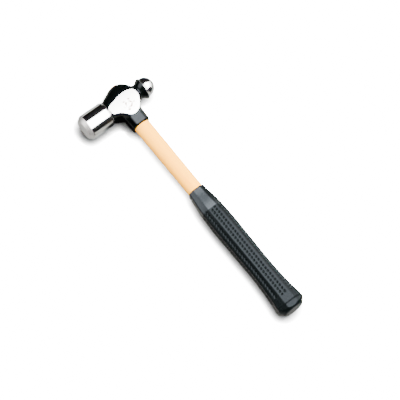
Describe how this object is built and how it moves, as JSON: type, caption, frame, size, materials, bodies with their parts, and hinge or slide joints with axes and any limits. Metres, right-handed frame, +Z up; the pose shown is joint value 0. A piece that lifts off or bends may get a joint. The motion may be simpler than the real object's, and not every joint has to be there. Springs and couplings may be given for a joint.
{
  "type": "ball peen hammer",
  "caption": "Ball peen hammer with a wedged wooden handle, octagonal rubber grip, round striking face, domed peen and flat polished cheeks.",
  "frame": {"origin": "under the middle of the hammer's bounding box, at the height of the lowest point of the head, with the hammer lying on its side", "axes": "+X from the striking face to the ball along the head's axis; +Y from the butt of the handle to the head along the handle's axis; +Z up, square to the flat cheeks"},
  "size_m": [0.1092, 0.3696, 0.0348],
  "materials": {
    "head_steel": "forged steel in gloss black lacquer, with the striking end, the ball and both cheeks ground and polished bright",
    "handle_wood": "clear-lacquered hickory",
    "wedge_wood": "bare darker hardwood",
    "wedge_steel": "plain steel",
    "grip_rubber": "black rubber with a satin sheen, dimpled in the hand area"
  },
  "bodies": {
    "root": {"hammer_head": "head_steel", "handle": "handle_wood", "wooden_wedge": "wedge_wood", "steel_wedge_front": "wedge_steel", "steel_wedge_rear": "wedge_steel", "rubber_grip": "grip_rubber"}
  },
  "joints": []
}
